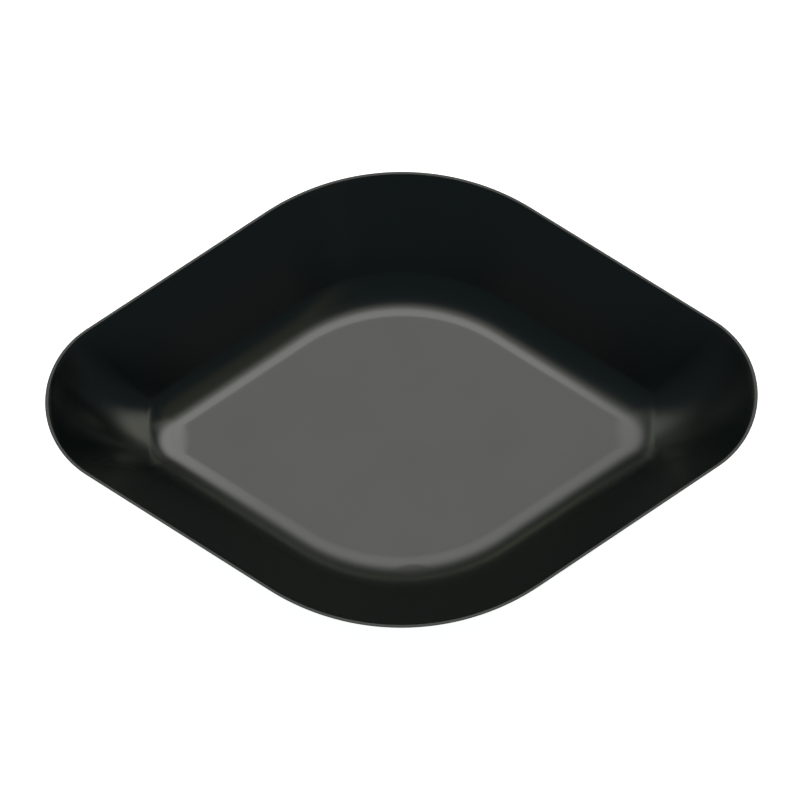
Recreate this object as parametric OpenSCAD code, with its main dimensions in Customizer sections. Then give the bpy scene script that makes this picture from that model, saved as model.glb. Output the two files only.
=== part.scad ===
// Weighing boat: a shallow diamond-shaped dish with a flat floor, flared sides
// and a plain rim, moulded in one piece.
// The pointed tips lie along X and the blunt corners along Y. The origin is at
// the centre of the underside, so the boat stands on z = 0.
// Lengths are in millimetres and angles in degrees.

/* [Rim] */
// Length of the rim over its two pointed tips
rim_length = 130; // [110:1:150]
// Width of the rim over its two blunt corners
rim_width = 90; // [80:1:100]
// Corner radius of the rim at the pointed tips
rim_tip_radius = 17.5; // [8:0.5:24]
// Corner radius of the rim at the blunt corners
rim_blunt_radius = 42.8; // [30:0.1:55]
// Width of the bevel along the outer edge of the rim's flat top
outer_bevel = 0.15; // [0.05:0.01:0.2]
// Width of the bevel along the inner edge of the rim's flat top
inner_bevel = 0.04; // [0.02:0.01:0.1]

/* [Floor] */
// Corner radius of the flat floor at the pointed tips
floor_tip_radius = 3.6; // [1:0.1:10]
// Corner radius of the flat floor at the blunt corners
floor_blunt_radius = 31.1; // [15:0.1:45]

/* [Walls] */
// Height of the boat, from its underside to the top of the rim
height = 19; // [14:0.5:26]
// Thickness of the plastic, the same in the floor and the walls
wall = 0.45; // [0.35:0.05:1.2]
// Slope of the four flat walls, measured up from the floor
wall_slope = 52.3; // [45:0.1:70]
// Radius of the bend from the floor into the walls, on the inside
bend_radius = 8.2; // [2:0.1:12]

/* [Pointed tips] */
// Radius of the bend from the floor into a pointed tip, on the inside
tip_bend_radius = 6; // [2:0.1:12]
// How steep that bend has become where the tip's long curve up to the rim begins
tip_bend_turn = 35; // [30:1:45]

/* [Hidden] */

// Largest turn from one facet to the next, round the corners and up the bend
$fa = 4;
bend_turn = 7;
// Facets in the curve above the bend
curve_steps = 6;
// Below this turn, in degrees, a curve counts as straight
straight = 0.001;

// Every level of the boat is a rhombus with rounded corners, and all levels
// share one angle: the direction that the flat walls face, measured from X.
tip_centre = rim_length / 2 - rim_tip_radius;
blunt_centre = rim_width / 2 - rim_blunt_radius;
wall_facing = acos((rim_blunt_radius - rim_tip_radius) / norm([tip_centre, blunt_centre]))
    - atan2(blunt_centre, tip_centre);

// How far out the outline of a flat wall lies, measured from the centre line:
// at the rim, and at the edge of the flat floor
rim_reach = tip_centre * cos(wall_facing) + rim_tip_radius;
bend_rise = bend_radius * (1 - cos(wall_slope));
up_wall = [cos(wall_slope), sin(wall_slope)];
rim_outside = [rim_reach + outer_bevel * up_wall.x, height];
rim_inside = rim_outside - [wall / sin(wall_slope), 0];
floor_reach = rim_inside.x - bend_radius * sin(wall_slope)
    - (height - wall - bend_rise) / tan(wall_slope);

// Where the two skins of the wall end, below the bevels of the rim
outer_end = rim_outside - outer_bevel * up_wall;
inner_end = rim_inside - inner_bevel * up_wall;
inner_lip = rim_inside + [inner_bevel, 0];

// The section of one skin as a list of [reach, z]: a bend out of the floor's
// edge that turns up by turn, then one curve to end. Along the flat walls the
// bend already points at end, so that the curve is straight.
function skin(foot, radius, turn, end) =
    let (
        steps = ceil(wall_slope / bend_turn),
        bend = [for (i = [0:steps])
            let (t = turn * i / steps)
            foot + radius * [sin(t), 1 - cos(t)]],
        chord = end - bend[steps],
        curl = atan2(chord.y, chord.x) - turn
    )
    concat(bend, [for (i = [1:curve_steps])
        let (
            part = i / curve_steps,
            gone = abs(curl) < straight ? part : sin(curl * part) / sin(curl),
            aim = turn + curl * part
        )
        bend[steps] + norm(chord) * gone * [cos(aim), sin(aim)]]);

// The bend and its turn change evenly from the flat walls, where tipness is 0,
// to the middle of a pointed tip, where it is 1.
function bend_at(tipness) = bend_radius + tipness * (tip_bend_radius - bend_radius);
function turn_at(tipness) = wall_slope + tipness * (tip_bend_turn - wall_slope);

// The outside, from the underside up to the flat top of the rim
function outer_section(tipness) = concat(
    skin([floor_reach, 0], bend_at(tipness) + wall, turn_at(tipness), outer_end),
    [rim_outside - [outer_bevel, 0]]
);

// The hollow, from the floor up the wall, then along the bevel and clear of
// the rim's top. Both skins bend about one line.
function hollow_section(tipness) = concat(
    skin([floor_reach, wall], bend_at(tipness), turn_at(tipness), inner_end),
    [2 * inner_lip - inner_end]
);

// The places round the boat where its section is drawn, each as [corner, angle,
// tipness]. Corner 0 faces along X and each next one a quarter turn further on,
// so that the even ones are the pointed tips. The angle is measured from the
// middle of the corner.
function is_tip(corner) = corner % 2 == 0;
function half_turn(corner) = is_tip(corner) ? wall_facing : 90 - wall_facing;
stations = [for (corner = [0:3])
    let (steps = 2 * ceil(half_turn(corner) / $fa))
    for (i = [0:steps])
        [corner, half_turn(corner) * (2 * i / steps - 1), is_tip(corner) ? sin(180 * i / steps) : 0]];

// Where a section's point [reach, z] lies at a station. A corner's radius grows
// evenly from the edge of the floor to the rim, which keeps the walls flat
// between the corners.
function place(corner, angle, point) =
    let (
        at_floor = is_tip(corner) ? floor_tip_radius : floor_blunt_radius,
        at_rim = is_tip(corner) ? rim_tip_radius : rim_blunt_radius,
        share = (point.x - floor_reach) / (rim_reach - floor_reach),
        radius = at_floor + share * (at_rim - at_floor),
        centre = (point.x - radius) / cos(half_turn(corner)),
        middle = 90 * corner
    )
    [
        centre * cos(middle) + radius * cos(middle + angle),
        centre * sin(middle) + radius * sin(middle + angle),
        point.y
    ];

// A closed solid lofted through a ring of columns of points, each lowest first
module loft(columns) {
    tall = len(columns[0]);
    round = len(columns);
    polyhedron(
        points = [for (column = columns) each column],
        faces = concat(
            [[for (i = [0:round - 1]) i * tall]],
            [[for (i = [round - 1:-1:0]) i * tall + tall - 1]],
            [for (i = [0:round - 1], level = [0:tall - 2])
                let (a = i * tall + level, b = (i + 1) % round * tall + level)
                each [[a, b + 1, b], [a, a + 1, b + 1]]]
        )
    );
}

module boat() {
    color([0.11, 0.115, 0.112])
    difference() {
        loft([for (s = stations) [for (p = outer_section(s[2])) place(s[0], s[1], p)]]);
        loft([for (s = stations) [for (p = hollow_section(s[2])) place(s[0], s[1], p)]]);
    }
}

boat();
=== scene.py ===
"""A black weighing boat, moulded in one thin piece, on a pale studio table.

The shell is one Geometry Nodes tree that follows the boat's own rule: every
level is a rhombus with rounded corners, and a wall section swept round it
gives the floor, the bend, the flared walls and the rim. Lengths are in metres.
"""
import logging
import math
from dataclasses import dataclass, field
from enum import Enum
from typing import Callable, ClassVar, Union

import bpy
from mathutils import Matrix, Vector


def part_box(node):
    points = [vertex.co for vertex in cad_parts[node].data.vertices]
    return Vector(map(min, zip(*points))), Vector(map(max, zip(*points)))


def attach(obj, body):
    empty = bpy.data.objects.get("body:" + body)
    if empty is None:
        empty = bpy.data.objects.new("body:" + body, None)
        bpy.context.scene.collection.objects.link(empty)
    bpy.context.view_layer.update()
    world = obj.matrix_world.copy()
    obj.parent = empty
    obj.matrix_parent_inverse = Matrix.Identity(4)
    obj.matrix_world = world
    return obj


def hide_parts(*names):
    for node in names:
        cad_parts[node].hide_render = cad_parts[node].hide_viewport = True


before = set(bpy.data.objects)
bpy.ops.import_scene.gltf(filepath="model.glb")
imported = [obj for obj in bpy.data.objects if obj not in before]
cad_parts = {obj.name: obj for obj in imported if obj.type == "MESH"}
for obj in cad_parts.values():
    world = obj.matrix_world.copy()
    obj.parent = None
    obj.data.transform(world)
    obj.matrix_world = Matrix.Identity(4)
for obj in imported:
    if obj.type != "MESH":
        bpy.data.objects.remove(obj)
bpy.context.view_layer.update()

LOG = logging.getLogger("weighing_boat")
BODY = "root"
NODE = "boat"
IMAGE_WIDTH_PX = 800.0
MM_PER_METRE = 1000.0

# Azimuths, in degrees from +X
BACK = 90.0
FRONT = -90.0
FULL_TURN = 360.0

# The middle of what a Noise node gives
NOISE_MIDDLE = 0.5
# Keeps a whole number clear of the step below it, however it is rounded
HALF_STEP = 0.5


class Operation(Enum):
    """The arithmetic that a Math node can do for the trees below."""

    ADD = "ADD"
    SUBTRACT = "SUBTRACT"
    MULTIPLY = "MULTIPLY"
    DIVIDE = "DIVIDE"
    MINIMUM = "MINIMUM"
    MAXIMUM = "MAXIMUM"
    FLOOR = "FLOOR"
    MODULO = "MODULO"
    ROUND = "ROUND"
    GREATER_THAN = "GREATER_THAN"
    SQRT = "SQRT"
    SINE = "SINE"
    COSINE = "COSINE"
    TANGENT = "TANGENT"
    ARCCOSINE = "ARCCOSINE"
    ARCTAN2 = "ARCTAN2"
    SIGN = "SIGN"


@dataclass(frozen=True)
class Term:
    """A number inside a node tree that takes part in ordinary arithmetic."""

    graph: "Graph"
    socket: bpy.types.NodeSocket

    def __add__(self, other: "Number") -> "Term":
        """Adds other."""
        return self.graph.maths(Operation.ADD, self, other)

    def __radd__(self, other: "Number") -> "Term":
        """Is added to other."""
        return self.graph.maths(Operation.ADD, other, self)

    def __sub__(self, other: "Number") -> "Term":
        """Takes other away."""
        return self.graph.maths(Operation.SUBTRACT, self, other)

    def __rsub__(self, other: "Number") -> "Term":
        """Is taken away from other."""
        return self.graph.maths(Operation.SUBTRACT, other, self)

    def __mul__(self, other: "Number") -> "Term":
        """Multiplies by other."""
        return self.graph.maths(Operation.MULTIPLY, self, other)

    def __rmul__(self, other: "Number") -> "Term":
        """Multiplies other."""
        return self.graph.maths(Operation.MULTIPLY, other, self)

    def __truediv__(self, other: "Number") -> "Term":
        """Divides by other."""
        return self.graph.maths(Operation.DIVIDE, self, other)

    def __rtruediv__(self, other: "Number") -> "Term":
        """Divides other."""
        return self.graph.maths(Operation.DIVIDE, other, self)


Number = Union[Term, float, int]


class Graph:
    """Builds one node tree, of the shell, of a material or of the room's light."""

    def __init__(self, tree: bpy.types.NodeTree) -> None:
        """Takes the empty tree that the nodes are added to."""
        self.tree = tree

    def node(self, kind: str, **settings: object) -> bpy.types.Node:
        """Adds a node.

        Args:
            kind: the node's type in Blender.
            settings: properties to set on the node itself.

        Returns:
            The new node.
        """
        made = self.tree.nodes.new(kind)
        for name, value in settings.items():
            setattr(made, name, value)
        return made

    def feed(self, socket: bpy.types.NodeSocket, value: object) -> None:
        """Links a term or a socket to an input, or sets the input's own value.

        Args:
            socket: the input.
            value: the term or socket to link to it, or the plain value to set on it.
        """
        if isinstance(value, Term):
            value = value.socket
        if isinstance(value, bpy.types.NodeSocket):
            self.tree.links.new(value, socket)
        else:
            socket.default_value = value

    def maths(self, operation: Operation, *operands: Number) -> Term:
        """Does one sum.

        Args:
            operation: what to do.
            operands: the numbers it is done with, in order.

        Returns:
            The result.
        """
        sum_node = self.node("ShaderNodeMath", operation=operation.value)
        for socket, value in zip(sum_node.inputs, operands):
            self.feed(socket, value)
        return Term(self, sum_node.outputs[0])

    def whole(self, value: Number) -> Term:
        """Rounds to the nearest whole number."""
        return self.maths(Operation.ROUND, value)

    def ramp(self, value: Number, low: Number, high: Number, start: Number, end: Number) -> Term:
        """Maps a stretch of value smoothly onto another and holds it beyond.

        Args:
            value: the number to map.
            low: where the stretch begins.
            high: where the stretch ends.
            start: the result at low and below.
            end: the result at high and above.

        Returns:
            The mapped number.
        """
        mapping = self.node("ShaderNodeMapRange", interpolation_type="SMOOTHSTEP", clamp=True)
        for socket, given in zip(mapping.inputs, (value, low, high, start, end)):
            self.feed(socket, given)
        return Term(self, mapping.outputs[0])

    def vector(self, x: Number, y: Number, z: Number) -> bpy.types.NodeSocket:
        """Joins three numbers into a vector.

        Args:
            x: its part along X.
            y: its part along Y.
            z: its part along Z.

        Returns:
            The vector.
        """
        joined = self.node("ShaderNodeCombineXYZ")
        for socket, value in zip(joined.inputs, (x, y, z)):
            self.feed(socket, value)
        return joined.outputs[0]

    def tinted(self, colour: tuple[float, float, float], strength: Term) -> bpy.types.NodeSocket:
        """Scales a colour by a strength.

        Args:
            colour: the colour at strength 1.
            strength: the number to scale it by.

        Returns:
            The scaled colour.
        """
        scaled = self.node("ShaderNodeVectorMath", operation="SCALE")
        self.feed(scaled.inputs[0], colour)
        self.feed(scaled.inputs["Scale"], strength)
        return scaled.outputs[0]

    def joined(
        self, first: bpy.types.NodeSocket, second: bpy.types.NodeSocket
    ) -> bpy.types.NodeSocket:
        """Adds two vectors or colours.

        Args:
            first: the one.
            second: the other.

        Returns:
            Their sum.
        """
        total = self.node("ShaderNodeVectorMath", operation="ADD")
        self.feed(total.inputs[0], first)
        self.feed(total.inputs[1], second)
        return total.outputs[0]

    def along(self, vector: bpy.types.NodeSocket, way: Vector) -> Term:
        """Measures how far a vector goes along a fixed unit vector.

        Args:
            vector: the vector to measure.
            way: the unit vector.

        Returns:
            The distance along it.
        """
        product = self.node("ShaderNodeVectorMath", operation="DOT_PRODUCT")
        self.feed(product.inputs[0], vector)
        self.feed(product.inputs[1], way)
        return Term(self, product.outputs["Value"])

    def parts(self, vector: bpy.types.NodeSocket) -> tuple[Term, Term, Term]:
        """Splits a vector into its three numbers.

        Args:
            vector: the vector.

        Returns:
            Its parts along X, Y and Z.
        """
        split = self.node("ShaderNodeSeparateXYZ")
        self.feed(split.inputs[0], vector)
        x, y, z = split.outputs
        return Term(self, x), Term(self, y), Term(self, z)


@dataclass(frozen=True)
class SatinPlastic:
    """Black polystyrene as it leaves the mould: satin on the floor, smoother on the walls.

    The walls on the side that faces the azimuth smooth_side, in degrees, have
    wall_roughness, and the others near_roughness. The one turns into the other
    within the distance turnover of the middle of the boat.
    """

    name: str = "satin_black_plastic"
    colour: tuple[float, float, float] = (0.0008, 0.0030, 0.0030)
    ior: float = 1.59
    wall_roughness: float = 0.225
    near_roughness: float = 0.34
    floor_roughness: float = 0.395
    rim_roughness: float = 0.48
    grain_pitch: float = 0.00028
    grain_height: float = 0.0000035
    grain_detail: float = 2.0
    cloud_pitch: float = 0.012
    cloud_roughness: float = 0.03
    cloud_detail: float = 3.0
    smooth_side: float = 101.0
    turnover: float = 0.012

    def make(self) -> bpy.types.Material:
        """Builds the material.

        Returns:
            The material, which reads object coordinates and the shell's zones.
        """
        material = bpy.data.materials.new(self.name)
        material.use_nodes = True
        graph = Graph(material.node_tree)
        shader = material.node_tree.nodes["Principled BSDF"]
        place = graph.node("ShaderNodeTexCoord").outputs["Object"]
        zones = graph.node("ShaderNodeAttribute", attribute_name=BoatShell.ZONE)
        zone = Term(graph, zones.outputs["Fac"])
        on_floor = graph.maths(Operation.MAXIMUM, zone, 0.0)
        on_rim = graph.maths(Operation.MAXIMUM, 0.0 - zone, 0.0)

        grain = graph.node("ShaderNodeTexNoise")
        graph.feed(grain.inputs["Vector"], place)
        graph.feed(grain.inputs["Scale"], 1.0 / self.grain_pitch)
        graph.feed(grain.inputs["Detail"], self.grain_detail)

        cloud = graph.node("ShaderNodeTexNoise")
        graph.feed(cloud.inputs["Vector"], place)
        graph.feed(cloud.inputs["Scale"], 1.0 / self.cloud_pitch)
        graph.feed(cloud.inputs["Detail"], self.cloud_detail)
        clouds = Term(graph, cloud.outputs[0]) - NOISE_MIDDLE

        over = graph.along(place, direction(self.smooth_side, 0.0))
        on_wall = graph.ramp(
            over, -self.turnover, self.turnover, self.near_roughness, self.wall_roughness
        )
        more_on_floor = on_floor * (self.floor_roughness - on_wall)
        more_on_rim = on_rim * (self.rim_roughness - on_wall)
        roughness = on_wall + more_on_floor + more_on_rim + clouds * self.cloud_roughness
        graph.feed(shader.inputs["Roughness"], roughness)

        bump = graph.node("ShaderNodeBump")
        graph.feed(bump.inputs["Strength"], 1.0)
        graph.feed(bump.inputs["Distance"], self.grain_height)
        graph.feed(bump.inputs["Height"], grain.outputs[0])
        graph.feed(shader.inputs["Normal"], bump.outputs[0])

        graph.feed(shader.inputs["Base Color"], (*self.colour, 1.0))
        graph.feed(shader.inputs["IOR"], self.ior)
        return material


@dataclass(frozen=True)
class PaleTable:
    """The evenly lit white sheet that the boat stands on."""

    name: str = "pale_table"
    colour: tuple[float, float, float] = (0.86, 0.86, 0.86)
    roughness: float = 0.9
    glow: float = 0.90
    glow_colour: tuple[float, float, float] = (1.0, 1.0, 1.0)

    def make(self) -> bpy.types.Material:
        """Builds the material of the sheet.

        Returns:
            The material.
        """
        material = bpy.data.materials.new(self.name)
        material.use_nodes = True
        graph = Graph(material.node_tree)
        shader = material.node_tree.nodes["Principled BSDF"]
        graph.feed(shader.inputs["Base Color"], (*self.colour, 1.0))
        graph.feed(shader.inputs["Roughness"], self.roughness)
        graph.feed(shader.inputs["Emission Color"], (*self.glow_colour, 1.0))
        graph.feed(shader.inputs["Emission Strength"], self.glow)
        return material


@dataclass(frozen=True)
class Stage:
    """One stretch of the section, with a rule that draws its points from part 0 to part 1."""

    steps: Number
    draw: Callable[[Term], tuple[Number, Number, Number]]


@dataclass(frozen=True)
class Rim:
    """The corners of the section at the rim, and the ends of the two skins below its edges."""

    reach: Term
    inside: Term
    outside: Term
    inner_end: tuple[Term, Term]
    outer_end: tuple[Term, Term]


@dataclass(frozen=True)
class Station:
    """A place round the boat.

    The outline faces along turn there. The share at_tip is 1 round a pointed
    tip, 0 round a blunt corner and between them on a flat side, and tipness is
    1 in the middle of a pointed tip and falls to 0 at its ends.
    """

    turn: Term
    at_tip: Term
    tipness: Term


@dataclass(frozen=True)
class Swelling:
    """A low oval swelling on the bend at the blunt corner in front, a little beside its middle."""

    x: float = 0.0017
    y: float = -0.0269
    half_length: float = 0.0033
    half_width: float = 0.0017
    height: float = 0.00006


@dataclass
class BoatShell:
    """The moulded dish: its floor, bend, walls and rim.

    Its sizes are in metres and radians. The border is a strip along the
    floor's edge, wider by tip_border in the middle of a pointed tip, and the
    floor's satin fades out over the share border_fade of its width. The
    attribute named by ZONE holds the finish: 1 is the floor's, 0 is the
    walls' and -1 is that of the rim's cut edge.
    """

    ZONE: ClassVar[str] = "finish_zone"
    CORNERS: ClassVar[float] = 4.0
    # Radians added to each wall's curl, because a straight wall's is nought and can't be divided by
    STRAIGHT: ClassVar[float] = 1e-5
    # Points nearer than this become one: along the seam and in the floor's middle
    SEAM: ClassVar[float] = 1e-6

    length: float
    width: float
    height: float
    rim_tip_radius: float = 0.0175
    rim_blunt_radius: float = 0.0428
    floor_tip_radius: float = 0.0036
    floor_blunt_radius: float = 0.0311
    wall: float = 0.00045
    wall_slope: float = math.radians(52.3)
    bend_radius: float = 0.0082
    tip_bend_radius: float = 0.006
    tip_bend_turn: float = math.radians(35.0)
    inner_edge: float = 0.00004
    outer_edge: float = 0.00009
    border: float = 0.00105
    border_fade: float = 0.78
    tip_border: float = 0.0014
    swelling: Swelling = field(default_factory=Swelling)
    corner_steps: int = 60
    side_steps: int = 12
    floor_steps: int = 14
    border_steps: int = 10
    bend_steps: int = 28
    wall_steps: int = 16
    inner_edge_steps: int = 3
    outer_edge_steps: int = 7
    finish: SatinPlastic = field(default_factory=SatinPlastic)

    def sizes(self) -> dict[str, Union[float, int]]:
        """Lists the tree's inputs, in the order that the modifier shows them.

        Returns:
            The value of each input by its name.
        """
        return {
            "Rim length": self.length,
            "Rim width": self.width,
            "Height": self.height,
            "Rim tip radius": self.rim_tip_radius,
            "Rim blunt radius": self.rim_blunt_radius,
            "Floor tip radius": self.floor_tip_radius,
            "Floor blunt radius": self.floor_blunt_radius,
            "Wall": self.wall,
            "Wall slope": self.wall_slope,
            "Bend radius": self.bend_radius,
            "Tip bend radius": self.tip_bend_radius,
            "Tip bend turn": self.tip_bend_turn,
            "Inner edge": self.inner_edge,
            "Outer edge": self.outer_edge,
            "Border": self.border,
            "Border fade": self.border_fade,
            "Tip border": self.tip_border,
            "Swelling X": self.swelling.x,
            "Swelling Y": self.swelling.y,
            "Swelling half length": self.swelling.half_length,
            "Swelling half width": self.swelling.half_width,
            "Swelling height": self.swelling.height,
            "Corner steps": self.corner_steps,
            "Side steps": self.side_steps,
            "Floor steps": self.floor_steps,
            "Border steps": self.border_steps,
            "Bend steps": self.bend_steps,
            "Wall steps": self.wall_steps,
            "Inner edge steps": self.inner_edge_steps,
            "Outer edge steps": self.outer_edge_steps,
        }

    def build(self) -> bpy.types.Object:
        """Makes the shell and dresses it.

        Returns:
            The finished object, at the origin, with its shape in its mesh.
        """
        tree = self.tree()
        source = bpy.data.objects.new("boat_source", bpy.data.meshes.new("boat_source"))
        bpy.context.scene.collection.objects.link(source)
        modifier = source.modifiers.new("shell", "NODES")
        modifier.node_group = tree
        sockets = {s.name: s.identifier for s in tree.interface.items_tree if s.in_out == "INPUT"}
        for name, value in self.sizes().items():
            modifier[sockets[name]] = value
        modifier[sockets["Material"]] = self.finish.make()

        shaped = source.evaluated_get(bpy.context.evaluated_depsgraph_get())
        shell = bpy.data.objects.new("boat_shell", bpy.data.meshes.new_from_object(shaped))
        shell.data.name = "boat_shell"
        bpy.context.scene.collection.objects.link(shell)
        bpy.data.objects.remove(source)
        return shell

    def tree(self) -> bpy.types.NodeTree:
        """Builds the Geometry Nodes tree of the shell.

        The shell starts as a flat grid. Its columns become the stations round
        the boat and its rows the points of the section at each station.

        Returns:
            The tree, with a named input for every size.
        """
        tree = bpy.data.node_groups.new("weighing_boat_shell", "GeometryNodeTree")
        for name, value in self.sizes().items():
            kind = "NodeSocketInt" if isinstance(value, int) else "NodeSocketFloat"
            tree.interface.new_socket(name, in_out="INPUT", socket_type=kind)
        tree.interface.new_socket("Material", in_out="INPUT", socket_type="NodeSocketMaterial")
        tree.interface.new_socket("Shell", in_out="OUTPUT", socket_type="NodeSocketGeometry")
        graph = Graph(tree)
        given = graph.node("NodeGroupInput")
        size = {name: Term(graph, given.outputs[name]) for name in self.sizes()}

        x, y, _ = graph.parts(graph.node("GeometryNodeInputPosition").outputs[0])
        columns = (size["Corner steps"] + size["Side steps"]) * self.CORNERS
        facing = self.facing(graph, size)
        station = self.station(graph, size, facing, graph.whole(y + columns / 2.0))
        rim = self.rim(graph, size, facing)
        floor_reach = self.floor_reach(graph, size, rim)
        stages = self.stages(graph, size, rim, floor_reach, station)
        rows = sum((stage.steps for stage in stages[1:]), stages[0].steps)
        reach, zone, level = self.follow(graph, stages, graph.whole(x + rows / 2.0))

        grid = graph.node("GeometryNodeMeshGrid")
        graph.feed(grid.inputs["Size X"], rows)
        graph.feed(grid.inputs["Size Y"], columns)
        graph.feed(grid.inputs["Vertices X"], rows + 1.0)
        graph.feed(grid.inputs["Vertices Y"], columns + 1.0)
        marked = graph.node("GeometryNodeStoreNamedAttribute", data_type="FLOAT", domain="POINT")
        graph.feed(marked.inputs["Geometry"], grid.outputs["Mesh"])
        graph.feed(marked.inputs["Name"], self.ZONE)
        graph.feed(marked.inputs["Value"], zone)
        placed = graph.node("GeometryNodeSetPosition")
        graph.feed(placed.inputs["Geometry"], marked.outputs[0])
        spot = self.place(graph, size, facing, rim, floor_reach, station, reach, level)
        graph.feed(placed.inputs["Position"], self.swollen(graph, size, spot))
        merged = graph.node("GeometryNodeMergeByDistance")
        graph.feed(merged.inputs["Geometry"], placed.outputs[0])
        graph.feed(merged.inputs["Distance"], self.SEAM)
        smooth = graph.node("GeometryNodeSetShadeSmooth")
        graph.feed(smooth.inputs["Geometry"], merged.outputs[0])
        real = graph.node("GeometryNodeRealizeInstances")
        graph.feed(real.inputs[0], smooth.outputs[0])
        dressed = graph.node("GeometryNodeSetMaterial")
        graph.feed(dressed.inputs["Geometry"], real.outputs[0])
        graph.feed(dressed.inputs["Material"], given.outputs["Material"])
        graph.feed(graph.node("NodeGroupOutput").inputs[0], dressed.outputs[0])
        return tree

    @staticmethod
    def facing(graph: Graph, size: dict[str, Term]) -> Term:
        """Works out which way the flat walls face.

        Args:
            graph: the tree's builder.
            size: the tree's inputs by name.

        Returns:
            The angle from X to a flat wall's outward direction.
        """
        tip_centre = size["Rim length"] / 2.0 - size["Rim tip radius"]
        blunt_centre = size["Rim width"] / 2.0 - size["Rim blunt radius"]
        apart = graph.maths(Operation.SQRT, tip_centre * tip_centre + blunt_centre * blunt_centre)
        growth = (size["Rim blunt radius"] - size["Rim tip radius"]) / apart
        lean = graph.maths(Operation.ARCTAN2, blunt_centre, tip_centre)
        return graph.maths(Operation.ARCCOSINE, growth) - lean

    @staticmethod
    def station(graph: Graph, size: dict[str, Term], facing: Term, column: Term) -> Station:
        """Lays out the way round the boat, corner by corner, with a flat side after each.

        Args:
            graph: the tree's builder.
            size: the tree's inputs by name.
            facing: the angle from X to a flat wall's outward direction.
            column: the number of the station, from 0.

        Returns:
            The station.
        """
        stride = size["Corner steps"] + size["Side steps"]
        corner = graph.maths(Operation.FLOOR, (column + HALF_STEP) / stride)
        step = column - corner * stride
        round_corner = graph.maths(Operation.MINIMUM, step / size["Corner steps"], 1.0)
        past_corner = (step - size["Corner steps"]) / size["Side steps"]
        along_side = graph.maths(Operation.MAXIMUM, past_corner, 0.0)
        is_blunt = graph.maths(Operation.MODULO, corner, 2.0)
        is_tip = 1.0 - is_blunt
        span = is_tip * (2.0 * facing) + is_blunt * (math.pi - 2.0 * facing)
        turn = corner * (math.pi / 2.0) + (round_corner - 0.5) * span
        at_tip = is_tip + along_side * (is_blunt - is_tip)
        tipness = is_tip * graph.maths(Operation.SINE, round_corner * math.pi)
        return Station(turn, at_tip, tipness)

    @staticmethod
    def rim(graph: Graph, size: dict[str, Term], facing: Term) -> Rim:
        """Works out the rim's section, with its two rounded edges.

        Args:
            graph: the tree's builder.
            size: the tree's inputs by name.
            facing: the angle from X to a flat wall's outward direction.

        Returns:
            The rim, in reach from the centre line and in level.
        """
        slope, top = size["Wall slope"], size["Height"]
        inner, outer = size["Inner edge"], size["Outer edge"]
        half_slope = graph.maths(Operation.TANGENT, slope / 2.0)
        sin_slope = graph.maths(Operation.SINE, slope)
        cos_slope = graph.maths(Operation.COSINE, slope)
        tip_centre = size["Rim length"] / 2.0 - size["Rim tip radius"]
        reach = tip_centre * graph.maths(Operation.COSINE, facing) + size["Rim tip radius"]
        outside = reach + outer * (1.0 / half_slope - 1.0)
        inside = outside - size["Wall"] / sin_slope
        inner_leg = inner * half_slope
        outer_leg = outer / half_slope
        return Rim(
            reach,
            inside,
            outside,
            (inside - inner_leg * cos_slope, top - inner_leg * sin_slope),
            (outside - outer_leg * cos_slope, top - outer_leg * sin_slope),
        )

    @staticmethod
    def floor_reach(graph: Graph, size: dict[str, Term], rim: Rim) -> Term:
        """Works out how far the flat floor reaches towards a flat wall.

        Args:
            graph: the tree's builder.
            size: the tree's inputs by name.
            rim: the rim's section.

        Returns:
            The reach of the floor's edge.
        """
        slope = size["Wall slope"]
        wall_run = (size["Height"] - size["Wall"]) / graph.maths(Operation.TANGENT, slope)
        bend_run = size["Bend radius"] * graph.maths(Operation.TANGENT, slope / 2.0)
        return rim.inside - wall_run - bend_run

    @staticmethod
    def stages(
        graph: Graph, size: dict[str, Term], rim: Rim, floor_reach: Term, station: Station
    ) -> list[Stage]:
        """Draws the section, from the middle of the floor over the rim to the middle underneath.

        Every point is a reach from the centre line, a zone of the finish and a
        level. Towards the middle of a pointed tip the bend gets tighter and
        turns less, and the wall above it becomes one long hollow curve.

        Args:
            graph: the tree's builder.
            size: the tree's inputs by name.
            rim: the rim's section.
            floor_reach: the reach of the floor's edge.
            station: the place round the boat.

        Returns:
            The stretches, in order.
        """
        wall, slope, top = size["Wall"], size["Wall slope"], size["Height"]
        underside, inward, outward = 0.0, -1.0, 1.0
        border = size["Border"] + station.tipness * size["Tip border"]
        inner, outer, fade = size["Inner edge"], size["Outer edge"], size["Border fade"]
        radius = size["Bend radius"] + station.tipness * (size["Tip bend radius"] - size["Bend radius"])
        steep = slope + station.tipness * (size["Tip bend turn"] - slope)
        half_slope = graph.maths(Operation.TANGENT, slope / 2.0)
        inner_centre = rim.inside + inner * half_slope
        outer_centre = rim.outside - outer / half_slope

        def bend(radius: Term, ground: Number, turn: Term) -> tuple[Term, Term]:
            """Draws the bend out of the floor's edge, turned up by turn, as a reach and a level."""
            level = radius * (1.0 - graph.maths(Operation.COSINE, turn)) + ground
            return floor_reach + radius * graph.maths(Operation.SINE, turn), level

        def curve(
            radius: Term, ground: Number, end: tuple[Term, Term], part: Term
        ) -> tuple[Term, Term]:
            """Draws the arc from the end of the bend up to end, which is straight along a flat wall.

            Args:
                radius: the radius of the bend.
                ground: the level of the floor that the bend comes out of.
                end: the reach and level where the arc ends.
                part: how far along the arc the point lies, from 0 to 1.

            Returns:
                The point's reach and level.
            """
            start = bend(radius, ground, steep)
            across, up = end[0] - start[0], end[1] - start[1]
            chord = graph.maths(Operation.SQRT, across * across + up * up)
            curl = graph.maths(Operation.ARCTAN2, up, across) - steep + BoatShell.STRAIGHT
            gone = graph.maths(Operation.SINE, curl * part) / graph.maths(Operation.SINE, curl) * chord
            aim = steep + curl * part
            return (
                start[0] + gone * graph.maths(Operation.COSINE, aim),
                start[1] + gone * graph.maths(Operation.SINE, aim),
            )

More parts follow.
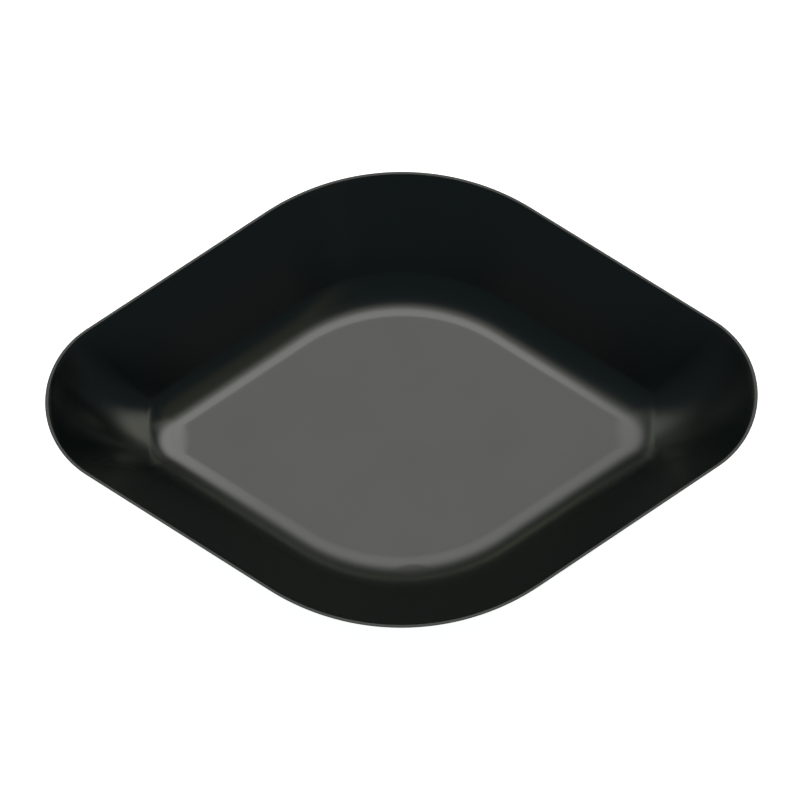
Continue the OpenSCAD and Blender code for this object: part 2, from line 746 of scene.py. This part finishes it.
        def edge(centre: Term, radius: Term, way: float, turn: Term) -> tuple[Term, Term]:
            """Draws a rounded edge of the rim.

            Args:
                centre: the reach of the middle of the round.
                radius: its radius.
                way: 1 where the edge is the outer one, and -1 where it is the inner one.
                turn: the angle of the point, from upright.

            Returns:
                The point's reach and level.
            """
            return (
                centre + radius * way * graph.maths(Operation.SINE, turn),
                top - radius + radius * graph.maths(Operation.COSINE, turn),
            )

        def plain(point: tuple[Term, Number]) -> tuple[Term, float, Number]:
            """Gives a point the finish of the walls."""
            return point[0], 0.0, point[1]

        def cut(point: tuple[Term, Term], share: Number) -> tuple[Term, Number, Term]:
            """Gives a point a share of the finish of the rim's cut edge."""
            return point[0], 0.0 - share, point[1]

        return [
            Stage(size["Floor steps"], lambda p: ((floor_reach - border) * p, 1.0, wall)),
            Stage(
                size["Border steps"],
                lambda p: (
                    floor_reach - border * (1.0 - p), graph.ramp(p, 0.0, fade, 1.0, 0.0), wall
                ),
            ),
            Stage(size["Bend steps"], lambda p: plain(bend(radius, wall, steep * p))),
            Stage(size["Wall steps"], lambda p: plain(curve(radius, wall, rim.inner_end, p))),
            Stage(
                size["Inner edge steps"],
                lambda p: cut(edge(inner_centre, inner, inward, slope * (1.0 - p)), p),
            ),
            Stage(1.0, lambda p: cut((inner_centre + (outer_centre - inner_centre) * p, top), 1.0)),
            Stage(
                size["Outer edge steps"],
                lambda p: cut(edge(outer_centre, outer, outward, (math.pi - slope) * p), 1.0 - p),
            ),
            Stage(
                size["Wall steps"],
                lambda p: plain(curve(radius + wall, underside, rim.outer_end, 1.0 - p)),
            ),
            Stage(
                size["Bend steps"],
                lambda p: plain(bend(radius + wall, underside, steep * (1.0 - p))),
            ),
            Stage(size["Floor steps"], lambda p: plain((floor_reach * (1.0 - p), underside))),
        ]

    @staticmethod
    def follow(graph: Graph, stages: list[Stage], row: Term) -> tuple[Term, Term, Term]:
        """Finds the section's point for a row of the grid.

        Args:
            graph: the tree's builder.
            stages: the stretches of the section, in order.
            row: the number of the point, from 0.

        Returns:
            The point's reach, the zone of its finish and its level.
        """
        start: Number = 0.0
        index: Number = -1.0
        points: list[bpy.types.NodeSocket] = []
        for stretch in stages:
            part = graph.maths(Operation.MAXIMUM, (row - start) / stretch.steps, 0.0)
            points.append(graph.vector(*stretch.draw(graph.maths(Operation.MINIMUM, part, 1.0))))
            index = graph.maths(Operation.GREATER_THAN, row + HALF_STEP, start) + index
            start = start + stretch.steps
        switch = graph.node("GeometryNodeIndexSwitch", data_type="VECTOR")
        while len(switch.index_switch_items) < len(points):
            switch.index_switch_items.new()
        graph.feed(switch.inputs["Index"], index)
        for socket, point in zip(switch.inputs[1:], points):
            graph.feed(socket, point)
        return graph.parts(switch.outputs[0])

    @staticmethod
    def place(
        graph: Graph,
        size: dict[str, Term],
        facing: Term,
        rim: Rim,
        floor_reach: Term,
        station: Station,
        reach: Term,
        level: Term,
    ) -> bpy.types.NodeSocket:
        """Places a point of the section at a station.

        A corner's radius grows evenly from the edge of the floor to the rim,
        which keeps the walls flat between the corners.

        Args:
            graph: the tree's builder.
            size: the tree's inputs by name.
            facing: the angle from X to a flat wall's outward direction.
            rim: the rim's section.
            floor_reach: the reach of the floor's edge.
            station: the place round the boat.
            reach: the point's reach from the centre line.
            level: the point's level.

        Returns:
            The position.
        """
        beyond = graph.maths(Operation.MAXIMUM, reach, floor_reach)
        inward = graph.maths(Operation.MINIMUM, reach / floor_reach, 1.0)
        share = (beyond - floor_reach) / (rim.reach - floor_reach)
        floor_tip, floor_blunt = size["Floor tip radius"], size["Floor blunt radius"]
        tip = floor_tip + share * (size["Rim tip radius"] - floor_tip)
        blunt = floor_blunt + share * (size["Rim blunt radius"] - floor_blunt)
        cos_turn = graph.maths(Operation.COSINE, station.turn)
        sin_turn = graph.maths(Operation.SINE, station.turn)
        at_blunt = 1.0 - station.at_tip
        radius = tip * station.at_tip + blunt * at_blunt
        tip_centre = (beyond - tip) / graph.maths(Operation.COSINE, facing) * station.at_tip
        blunt_centre = (beyond - blunt) / graph.maths(Operation.SINE, facing) * at_blunt
        x = graph.maths(Operation.SIGN, cos_turn) * tip_centre + radius * cos_turn
        y = graph.maths(Operation.SIGN, sin_turn) * blunt_centre + radius * sin_turn
        return graph.vector(x * inward, y * inward, level)

    @staticmethod
    def swollen(graph: Graph, size: dict[str, Term], spot: bpy.types.NodeSocket) -> bpy.types.NodeSocket:
        """Lifts both skins by the swelling, where it lies.

        Args:
            graph: the tree's builder.
            size: the tree's inputs by name.
            spot: the position without the swelling.

        Returns:
            The position.
        """
        x, y, level = graph.parts(spot)
        along = (x - size["Swelling X"]) / size["Swelling half length"]
        across = (y - size["Swelling Y"]) / size["Swelling half width"]
        rise = graph.ramp(along * along + across * across, 0.0, 1.0, size["Swelling height"], 0.0)
        return graph.vector(x, y, level + rise)


@dataclass(frozen=True)
class Glow:
    """A soft panel of light far off in the room, an ellipse with a blurred edge.

    Its azimuth and elevation are in degrees, and its half width and half
    height are measured on a sphere of radius 1. The light fades out from the
    share softness of them inside the edge to the same share outside it.
    """

    name: str
    azimuth: float
    elevation: float
    half_width: float
    half_height: float
    softness: float
    radiance: tuple[float, float, float]

    def shade(self, graph: Graph, look: bpy.types.NodeSocket) -> bpy.types.NodeSocket:
        """Works out what the panel adds to the light from a direction.

        Args:
            graph: the builder of the room's tree.
            look: the direction, as a unit vector.

        Returns:
            The light's colour and strength.
        """
        facing = direction(self.azimuth, self.elevation)
        level = direction(self.azimuth + FULL_TURN / 4.0, 0.0)
        across = graph.along(look, level) / self.half_width
        above = graph.along(look, facing.cross(level)) / self.half_height
        apart = graph.maths(Operation.SQRT, across * across + above * above)
        lit = graph.ramp(apart, 1.0 - self.softness, 1.0 + self.softness, 1.0, 0.0)
        this_side = graph.maths(Operation.GREATER_THAN, graph.along(look, facing), 0.0)
        return graph.tinted(self.radiance, lit * this_side)


@dataclass(frozen=True)
class Studio:
    """The table, and a room that is dim in front and dark behind, with soft panels of light.

    The front's light fades out between the two shares of front_fade, which
    are measured towards the back on a sphere of radius 1.
    """

    floor_radius: float = 12.0
    floor_sides: int = 96
    clearance: float = 0.00001
    room_front: tuple[float, float, float] = (0.112, 0.145, 0.155)
    front_fade: tuple[float, float] = (-0.1, 0.25)
    panels: tuple[Glow, ...] = (
        Glow("main", 85.6, 62.9, 0.422, 0.238, 0.34, (3.56, 3.57, 3.44)),
        Glow("ceiling_strip", 92.0, 79.5, 0.747, 0.140, 0.30, (1.05, 1.06, 0.94)),
        Glow("right", 14.6, 26.0, 0.414, 0.085, 0.30, (1.92, 1.94, 1.63)),
        Glow("right_skirt", 41.6, 35.6, 0.357, 0.067, 0.96, (1.14, 1.17, 1.05)),
        Glow("upper_right", 18.3, 70.0, 0.824, 0.140, 0.40, (0.24, 0.23, 0.12)),
        Glow("low_right", 27.1, 2.0, 0.178, 0.067, 0.98, (6.2, 5.97, 5.24)),
        Glow("left", 154.9, 32.5, 0.346, 0.110, 0.30, (2.55, 2.68, 2.32)),
        Glow("low_left", 153.7, 0.7, 0.292, 0.111, 0.30, (1.88, 2.27, 2.02)),
        Glow("back_right_strip", 68.4, 19.4, 0.503, 0.060, 0.30, (1.24, 1.32, 1.01)),
        Glow("back_left_strip", 118.0, 19.2, 0.319, 0.060, 0.64, (1.64, 1.68, 1.20)),
    )
    table: PaleTable = field(default_factory=PaleTable)

    def build(self) -> bpy.types.Object:
        """Lights the room, lays the table and returns the table's object."""
        self.room()
        return self.floor()

    def floor(self) -> bpy.types.Object:
        """Makes the table's sheet, a wide flat disc just clear of the boat's underside.

        Returns:
            The table's object.
        """
        mesh = bpy.data.meshes.new("table")
        centre = Vector((0.0, 0.0, -self.clearance))
        turns = [FULL_TURN * side / self.floor_sides for side in range(self.floor_sides)]
        rim = [centre + direction(turn, 0.0) * self.floor_radius for turn in turns]
        mesh.from_pydata(rim, [], [list(range(self.floor_sides))])
        mesh.materials.append(self.table.make())
        floor = bpy.data.objects.new("table", mesh)
        bpy.context.scene.collection.objects.link(floor)
        return floor

    def room(self) -> None:
        """Lights the front of the room dimly and hangs the panels in it."""
        world = bpy.data.worlds.new("room")
        world.use_nodes = True
        graph = Graph(world.node_tree)
        look = graph.node("ShaderNodeTexCoord").outputs["Object"]
        towards_back = graph.along(look, direction(BACK, 0.0))
        in_front = graph.ramp(towards_back, *self.front_fade, 1.0, 0.0)
        light = graph.tinted(self.room_front, in_front)
        for panel in self.panels:
            light = graph.joined(light, panel.shade(graph, look))
        background = world.node_tree.nodes["Background"]
        graph.feed(background.inputs["Color"], light)
        graph.feed(background.inputs["Strength"], 1.0)
        bpy.context.scene.world = world


@dataclass(frozen=True)
class Viewpoint:
    """The camera: where it stands, how it is rolled and how much it takes in.

    Its elevation and roll are in degrees. It stands in front, and offset_px
    is how far right and up of the picture's middle the target lies.
    """

    elevation: float = 67.5
    distance: float = 1.8
    roll: float = 0.78
    pixels_per_metre: float = 5485.0
    offset_px: tuple[float, float] = (1.42, 2.6)
    sensor: float = 0.036
    far_clip: float = 50.0

    def build(self, target: Vector) -> bpy.types.Object:
        """Places the camera.

        Args:
            target: the point that it is aimed by.

        Returns:
            The camera's object.
        """
        data = bpy.data.cameras.new("camera")
        data.sensor_fit = "HORIZONTAL"
        data.sensor_width = self.sensor * MM_PER_METRE
        data.lens = data.sensor_width * self.pixels_per_metre * self.distance / IMAGE_WIDTH_PX
        data.clip_end = self.far_clip
        camera = bpy.data.objects.new("camera", data)
        out = direction(FRONT, self.elevation)
        level = out.to_track_quat("Z", "Y").to_matrix().to_4x4()
        turned = level @ Matrix.Rotation(-math.radians(self.roll), 4, "Z")
        aside = Vector((-self.offset_px[0], -self.offset_px[1], 0.0)) / self.pixels_per_metre
        spot = target + out * self.distance + turned.to_3x3() @ aside
        camera.matrix_world = Matrix.Translation(spot) @ turned
        bpy.context.scene.collection.objects.link(camera)
        bpy.context.scene.camera = camera
        return camera


def direction(azimuth: float, elevation: float) -> Vector:
    """Turns an azimuth from +X and an elevation, in degrees, into a unit vector."""
    turn, lift = math.radians(azimuth), math.radians(elevation)
    return Vector((math.cos(lift) * math.cos(turn), math.cos(lift) * math.sin(turn), math.sin(lift)))


def main() -> None:
    """Builds the boat, the studio and the camera, in that order."""
    logging.basicConfig(level=logging.INFO, format="%(name)s: %(message)s")
    low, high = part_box(NODE)
    rim_centre = Vector(((low.x + high.x) / 2.0, (low.y + high.y) / 2.0, high.z))

    boat = BoatShell(length=high.x - low.x, width=high.y - low.y, height=high.z - low.z)
    shell = boat.build()
    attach(shell, BODY)
    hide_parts(NODE)
    LOG.info("%s: %d faces", shell.name, len(shell.data.polygons))

    studio = Studio()
    table = studio.build()
    LOG.info("%s: laid, with %d panels of light", table.name, len(studio.panels))

    camera = Viewpoint().build(rim_centre)
    LOG.info("%s: at (%.4f, %.4f, %.4f)", camera.name, *camera.location)

    bpy.context.scene.view_settings.view_transform = "Standard"


if __name__ == "__main__":
    main()
